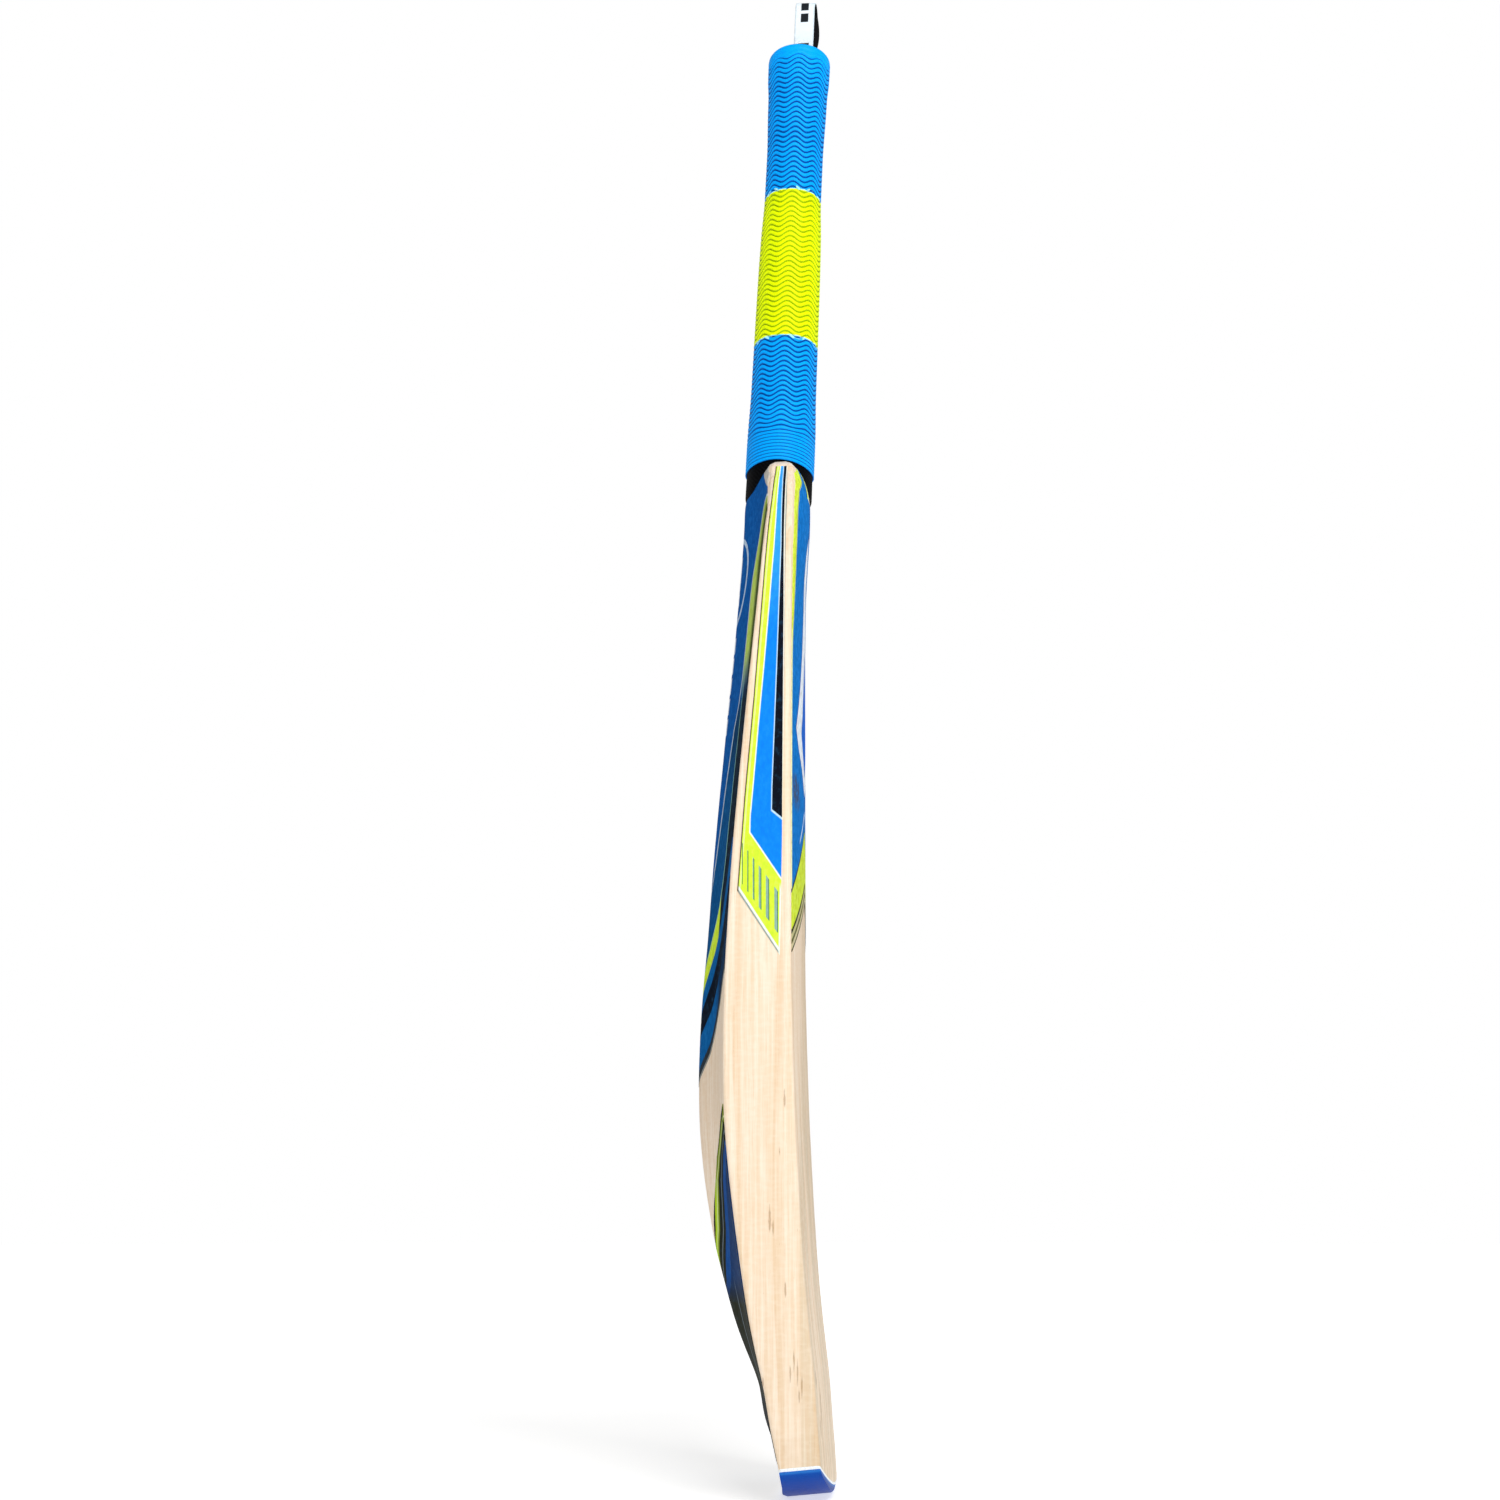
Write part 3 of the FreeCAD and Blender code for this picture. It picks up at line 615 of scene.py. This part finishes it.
def toe_rubber():
    """Blue rubber: a painted highlight along the rounded rim under the wood, and scuffs where the bat is
    tapped down.
    """
    s = Surface("toe_rubber", "#002f8a", specular=0.04)
    x, y = s.x, s.y
    up = s.z * math.cos(TOE_TILT) + y * math.sin(TOE_TILT)
    arc = GUARD_THICK + GUARD_RIM_RADIUS - (GUARD_RIM_RADIUS ** 2 - x * x).math("SQRT")
    below = arc - up
    speckle = s.noise(x / 1.1, y / 1.1, s.z / 1.1, 3.0)
    # Painted highlight: a paler band over the top of the rounded rim, brightest in a line at its very edge.
    s.layer("#0850b0", below.under(2.4 + (speckle - 0.5) * 0.8, 3.4) * 0.9)
    s.layer("#3484d8", below.between(-0.2, 0.8, 0.5) * 0.6)
    worn = s.noise(x / 4.0, y / 3.0, s.z / 2.0, 4.0, 0.7)
    s.layer("#3f66a4", worn.over(0.60, 0.1) * up.under(0.9, 1.2) * 0.4)
    s.layer("#0a2a6e", worn.under(0.40, 0.1) * 0.25)
    s.rough(worn * 0.25 + 0.26)
    s.bump(speckle, 0.05)
    return s.done()


def toe_bead():
    s = Surface("toe_bead", "#f6fbff", 0.4)
    fleck = s.noise(s.x / 0.9, s.y / 0.9, s.z / 0.9, 3.0)
    s.layer("#cfdbe4", fleck.over(0.55, 0.15) * 0.45)
    s.bump(fleck, 0.04)
    return s.done()


def spring_rubber():
    s = Surface("spring_rubber", "#17171a", 0.7)
    grit = s.noise(s.x / 0.6, s.y / 0.6, s.z / 0.6, 3.0)
    s.layer("#2c2c30", grit.over(0.55, 0.15) * 0.6)
    s.bump(grit, 0.05)
    return s.done()


# ---------------------------------------------------------------- meshes
def mesh_object(name, rings, material):
    """Closed band of quads from rings of points that all have the same count; merges what coincides."""
    bm = bmesh.new()
    count = len(rings[0])
    rows = [[bm.verts.new(point) for point in ring] for ring in rings]
    for low, high in zip(rows, rows[1:] + rows[:1]):
        for i in range(count):
            j = (i + 1) % count
            bm.faces.new((low[i], low[j], high[j], high[i]))
    bmesh.ops.remove_doubles(bm, verts=bm.verts, dist=2e-6)
    bmesh.ops.recalc_face_normals(bm, faces=bm.faces)
    return placed(name, bm, material)


def placed(name, bm, *materials):
    """The built mesh as an object in the scene, smooth all over."""
    for face in bm.faces:
        face.smooth = True
    mesh = bpy.data.meshes.new(name)
    bm.to_mesh(mesh)
    bm.free()
    for material in materials:
        mesh.materials.append(material)
    obj = bpy.data.objects.new(name, mesh)
    bpy.context.scene.collection.objects.link(obj)
    return obj


def around(radius_at, height_at, columns=COLUMNS):
    """Ring of points about the handle's axis; radius and height are functions of the angle."""
    ring = []
    for i in range(columns):
        turn = 2 * math.pi * i / columns
        r, h = radius_at(turn), height_at(turn)
        ring.append(ON_HANDLE @ (Vector((r * math.cos(turn), r * math.sin(turn), h)) * MM))
    return ring


def ridge_starts():
    """Heights where the grip's ridges meet: fine ribs by the lower rim, then waves up to the dome."""
    starts = [GRIP_BOTTOM + i * RIB_PITCH for i in range(RIBS + 1)]
    while starts[-1] < GRIP_TOP - SMOOTH_TOP:
        starts.append(starts[-1] + smooth(RIDGE_PITCH, starts[-1]))
    return starts


STARTS = ridge_starts()
FIRST_WAVE = STARTS[RIBS]


def wave_size(height):
    """The waves are flat at both ends of the ridged stretch."""
    low = min(max((height - FIRST_WAVE + WAVES_LEAD) / WAVES_GROW, 0), 1)
    high = min(max((GRIP_TOP - SMOOTH_TOP - height) / WAVES_DIE, 0), 1)
    return WAVE_HEIGHT * low * high


def wave(turn, height):
    return wave_size(height) * math.cos(WAVES * (turn - WAVE_CREST))


def relief(turn, height):
    """How deep below the crests the grip's surface lies at a point."""
    base = height - wave(turn, height)
    if base <= STARTS[0] or base >= STARTS[-1]:
        return 0.0
    for low, high in zip(STARTS, STARTS[1:]):
        if base < high:
            share = (base - low) / (high - low)
            break
    full = RIB_DEPTH if low < FIRST_WAVE - 1 else RIDGE_DEPTH
    full *= min(max((GRIP_TOP - SMOOTH_TOP - base) / RIDGES_DIE, LAST_DEPTH), 1)
    return full * (1 - smooth(RIDGE_SHAPE + [(1.0, 0.0)], share))


def lower_rim(turn):
    """The lower end of the sleeve is pushed up over the two shoulders, and its ribs with it."""
    return GRIP_BOTTOM + GRIP_ARCH * math.cos(turn) ** 2


def settled(turn, height):
    """Height of a point once the lower end is pushed up: all of the push at the rim, none past the ribs."""
    end = FIRST_WAVE + RIM_EASE
    share = min(max((end - height) / (end - GRIP_BOTTOM), 0), 1)
    return height + (lower_rim(turn) - GRIP_BOTTOM) * share


def grip_rows(low, high):
    """Base heights of the rows of points between two heights."""
    rows = []
    for start, end in zip(STARTS, STARTS[1:]):
        rows += [start + (end - start) * share for share, lift in RIDGE_SHAPE]
    rows.append(STARTS[-1])
    margin = 2 * WAVE_HEIGHT
    return [h for h in rows if low - margin < h < high + margin]


def grip_end():
    """Rings of the closed end: over the dome, round the lip of its hole and down to the canes."""
    rings = []
    rise = GRIP_TOP - SMOOTH_TOP
    for i in range(1, DOME_STEPS + 1):
        h = rise + (GRIP_TOP - rise) * math.sin(i / DOME_STEPS * math.pi / 2)
        rings.append(around(lambda turn: smooth(GRIP_R, h), lambda turn: h))
    lip = [(GRIP_HOLE_R + 0.6, GRIP_TOP + 0.05), (GRIP_HOLE_R + 0.15, GRIP_TOP - 0.35),
           (GRIP_HOLE_R, GRIP_TOP - 1.2), (GRIP_HOLE_R, HANDLE_TOP + 0.05),
           (HANDLE_R[-1][1], HANDLE_TOP + 0.02)]
    for r, h in lip:
        rings.append(around(lambda turn: r, lambda turn: h))
    return rings


def grip_piece(name, low, high, material, node, domed=False):
    """One colour band of the grip: ridged outside, closed or cut square at its upper end, and hollow."""
    top = GRIP_TOP - SMOOTH_TOP + 0.1 if domed else high

    def outer(base):
        def height(turn):
            return min(max(base + wave(turn, base), low), top)
        return (lambda turn: smooth(GRIP_R, height(turn)) - relief(turn, height(turn)),
                lambda turn: settled(turn, height(turn)))

    bases = [low - PAST_END] + grip_rows(low, high)
    if not domed:
        bases.append(high + PAST_END)
    rings = [around(*outer(base)) for base in bases]
    hollow_top = high
    if domed:
        rings += grip_end()
        hollow_top = HANDLE_TOP - 1
    steps = max(2, round((hollow_top - low) / HOLLOW_STEP))
    for i in range(steps + 1):
        h = hollow_top + (low - hollow_top) * i / steps
        rings.append(around(lambda turn: smooth(HANDLE_R, h) + CLEARANCE, lambda turn: settled(turn, h)))
    piece = mesh_object(name, rings, material)
    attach(piece, "root")
    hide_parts(node)


def twine_binding(material):
    """Twine wound turn on turn; where the grip hides it, a plain sleeve carries on."""
    turns = int(TWINE_SEEN / TWINE)

    def helix(row):
        whole, part = divmod(row, len(TWINE_SHAPE))
        share, lift = TWINE_SHAPE[part]

        def height(turn):
            return max((whole + share - 1 + turn / (2 * math.pi)) * TWINE, 0.0)
        drop = TWINE / 2 * (1 - lift)
        return lambda turn: smooth(HANDLE_R, height(turn)) - drop, height

    bm = bmesh.new()
    rows = []
    for row in range(turns * len(TWINE_SHAPE) + 1):
        radius_at, height_at = helix(row)
        line = []
        for i in range(TWINE_COLUMNS + 1):
            turn = 2 * math.pi * i / TWINE_COLUMNS
            r, h = radius_at(turn), height_at(turn)
            line.append(bm.verts.new(ON_HANDLE @ (Vector((r * math.cos(turn), r * math.sin(turn), h)) * MM)))
        rows.append(line)
    for low, high in zip(rows, rows[1:]):
        for i in range(TWINE_COLUMNS):
            bm.faces.new((low[i], low[i + 1], high[i + 1], high[i]))
    bmesh.ops.remove_doubles(bm, verts=bm.verts, dist=2e-6)
    piece = placed("twine_binding", bm, material)
    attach(piece, "root")

    start, end, steps = TWINE_SEEN - SLEEVE_LAP, HANDLE_TOP - 1, 30
    heights = [start + (end - start) * i / steps for i in range(steps + 1)]
    rings = [around(lambda turn: smooth(HANDLE_R, h) - SLEEVE_OUTSIDE, lambda turn: h, 64) for h in heights]
    rings += [around(lambda turn: smooth(HANDLE_R, h) - SLEEVE_INSIDE, lambda turn: h, 64)
              for h in reversed(heights)]
    sleeve = mesh_object("twine_under_grip", rings, material)
    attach(sleeve, "root")
    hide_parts("handle_binding")


def ribbon_path():
    """Centre line of the ribbon: up the near leg, over the bend, down the far leg, which hangs askew."""
    bend = HANDLE_TOP + LOOP_RISE
    path = []
    for i in range(LEG_STEPS):
        t = i / LEG_STEPS
        bow = math.sin(t * math.pi) * NEAR_BOW
        path.append((-LOOP_FOOT + (LOOP_FOOT - LOOP_RADIUS) * t - bow, 0.0, HANDLE_TOP + LOOP_RISE * t))
    for i in range(BEND_STEPS + 1):
        t = i / BEND_STEPS
        angle = math.pi * (1 - t)
        path.append((LOOP_RADIUS * math.cos(angle), -SKEW * t, bend + LOOP_RADIUS * math.sin(angle)))
    for i in range(1, LEG_STEPS + 1):
        t = i / LEG_STEPS
        bow = math.sin(t * math.pi) * FAR_BOW
        slip = -SKEW - SLIP * math.sin(min(t * 1.35, 1) * math.pi) + SKEW * t
        path.append((LOOP_RADIUS + (LOOP_FOOT - LOOP_RADIUS) * t + bow, slip, bend - LOOP_RISE * t))
    return [Vector((x, LOOP_OFFSET + y, z)) for x, y, z in path]


def ribbon_loop(outside, inside):
    """The ribbon, swept along its path, with one material outside the loop and another inside."""
    path = ribbon_path()
    half, thick = LOOP_WIDTH / 2, LOOP_THICK / 2
    selvedge, strips = 0.35, 8
    section = [(-half, thick * 0.5), (-half + selvedge, thick)]
    section += [(-half + LOOP_WIDTH * k / strips, thick) for k in range(1, strips)]
    section += [(half - selvedge, thick), (half, thick * 0.5)]
    section += [(across, -lift) for across, lift in reversed(section)]
    rings = []
    for i, centre in enumerate(path):
        before, after = path[max(i - 1, 0)], path[min(i + 1, len(path) - 1)]
        ahead = (after - before).normalized()
        across = Vector((0, 1, 0))
        across = (across - ahead * across.dot(ahead)).normalized()
        out = across.cross(ahead)
        rings.append([ON_HANDLE @ ((centre + across * a + out * o) * MM) for a, o in section])
    bm = bmesh.new()
    rows = [[bm.verts.new(point) for point in ring] for ring in rings]
    count = len(section)
    for low, high in zip(rows, rows[1:]):
        for i in range(count):
            face = bm.faces.new((low[i], low[(i + 1) % count], high[(i + 1) % count], high[i]))
            face.material_index = 1 if i < count // 2 else 0
    bm.faces.new(rows[0][::-1])
    bm.faces.new(rows[-1])
    bmesh.ops.recalc_face_normals(bm, faces=bm.faces)
    piece = placed("ribbon_loop", bm, outside, inside)
    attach(piece, "root")
    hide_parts("hang_loop")


# ---------------------------------------------------------------- stage
def stage():
    """Pale floor with a painted glow that grows away from the bat, so that it meets the background with no
    horizon.
    """
    bm = bmesh.new()
    reach, rings, sides = 9.0, 24, 96
    previous = None
    for i in range(1, rings + 1):
        r = reach * (i / rings) ** 2
        ring = [bm.verts.new((r * math.cos(2 * math.pi * k / sides), r * math.sin(2 * math.pi * k / sides),
                              cad_box[0][2])) for k in range(sides)]
        if previous:
            for k in range(sides):
                bm.faces.new((previous[k], ring[k], ring[(k + 1) % sides], previous[(k + 1) % sides]))
        else:
            bm.faces.new(ring)
        previous = ring
    s = Surface("floor_paper", "#dcdcdc", 0.9, 0.0)
    s.layer("#d4d4d5", s.noise(s.x / 60, s.y / 60, 0.0, 3.0).over(0.5, 0.5) * 0.3)
    s.shader.inputs["Emission Color"].default_value = (1, 1, 1, 1)
    # Painted light: the floor glows, more strongly the further it lies from the bat.
    far = (s.x * s.x + s.y * s.y).math("SQRT").follow([(350, 0.64), (1200, 0.82), (3000, 0.93)])
    feed(s.tree, s.shader.inputs["Emission Strength"], far)
    placed("floor", bm, s.done())


def soft_light(name, place, target, size, power, tint):
    data = bpy.data.lights.new(name, "AREA")
    data.shape = "RECTANGLE"
    data.size, data.size_y = size
    data.energy = power
    data.color = tint
    obj = bpy.data.objects.new(name, data)
    bpy.context.scene.collection.objects.link(obj)
    obj.location = place
    obj.rotation_euler = (Vector(target) - Vector(place)).to_track_quat("-Z", "Y").to_euler()


def lights():
    world = bpy.data.worlds.new("studio")
    bpy.context.scene.world = world
    world.use_nodes = True
    nodes, links = world.node_tree.nodes, world.node_tree.links
    background = nodes["Background"]
    ray = nodes.new("ShaderNodeLightPath")
    strength = nodes.new("ShaderNodeMapRange")
    links.new(ray.outputs["Is Camera Ray"], strength.inputs["Value"])
    strength.inputs["To Min"].default_value = 0.24      # what lights the bat
    strength.inputs["To Max"].default_value = 1.0       # what is seen behind it
    links.new(strength.outputs[0], background.inputs["Strength"])
    background.inputs["Color"].default_value = (1, 1, 1, 1)
    middle = (0, 0, 0.45)
    soft_light("key", (-1.9, -0.85, 2.1), middle, (1.3, 1.3), 46, (1.0, 0.98, 0.95))
    soft_light("side", (-2.6, -0.35, 0.7), middle, (0.8, 1.8), 8, (1.0, 0.99, 0.97))
    soft_light("fill", (1.6, -2.6, 1.6), middle, (1.8, 1.8), 9, (0.95, 0.98, 1.0))
    soft_light("back", (1.4, 2.4, 1.8), middle, (1.8, 1.8), 5, (0.95, 0.98, 1.0))


CAMERA_PLACE = (-0.9434, -0.0538, 0.133)
CAMERA_AZIMUTH = math.radians(275)
CAMERA_ELEVATION = math.radians(-15.1)


def camera():
    """From close to the ground, looking up along the near edge."""
    data = bpy.data.cameras.new("camera")
    obj = bpy.data.objects.new("camera", data)
    bpy.context.scene.collection.objects.link(obj)
    data.sensor_width = 36
    data.lens = 41.64
    data.clip_start = 0.01
    level = math.cos(CAMERA_ELEVATION)
    away = Vector((math.sin(CAMERA_AZIMUTH) * level, -math.cos(CAMERA_AZIMUTH) * level,
                   math.sin(CAMERA_ELEVATION)))
    obj.location = CAMERA_PLACE
    obj.rotation_euler = (-away).to_track_quat("-Z", "Y").to_euler()
    bpy.context.scene.camera = obj


# ---------------------------------------------------------------- the bat
def dress(material, *names):
    """Gives a CAD node its finish."""
    for name in names:
        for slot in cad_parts[name].material_slots:
            slot.material = material


def main():
    camera()
    lights()
    stage()
    bpy.context.scene.view_settings.view_transform = "Standard"
    dress(willow(), "blade")
    canes = ["cane_%d_%s" % (n, side) for n in (1, 2, 3, 4) for side in ("left", "middle", "right")]
    dress(cane(), *canes)
    dress(spring_rubber(), *["rubber_spring_%d" % n for n in (1, 2, 3)])
    dress(toe_rubber(), "toe_guard")
    dress(toe_bead(), "toe_guard_bead")
    dress(edge_film(), "edge_sticker_left", "edge_sticker_right")
    dress(face_film(), "face_sticker")
    dress(back_film(), "back_sticker_upper")
    dress(back_film_low(), "back_sticker_lower")
    blue = grip_rubber("grip_blue_rubber", "#00a4ff", "#0048a2")
    yellow = grip_rubber("grip_yellow_rubber", "#e6fc00", "#a2bc00")
    grip_piece("grip_sleeve_lower", GRIP_BOTTOM, BAND_LOW, blue, "grip_lower")
    grip_piece("grip_sleeve_middle", BAND_LOW, BAND_HIGH, yellow, "grip_middle")
    grip_piece("grip_sleeve_upper", BAND_HIGH, GRIP_TOP, blue, "grip_upper", domed=True)
    twine_binding(twine_black())
    ribbon_loop(ribbon_face(), ribbon_back())


main()
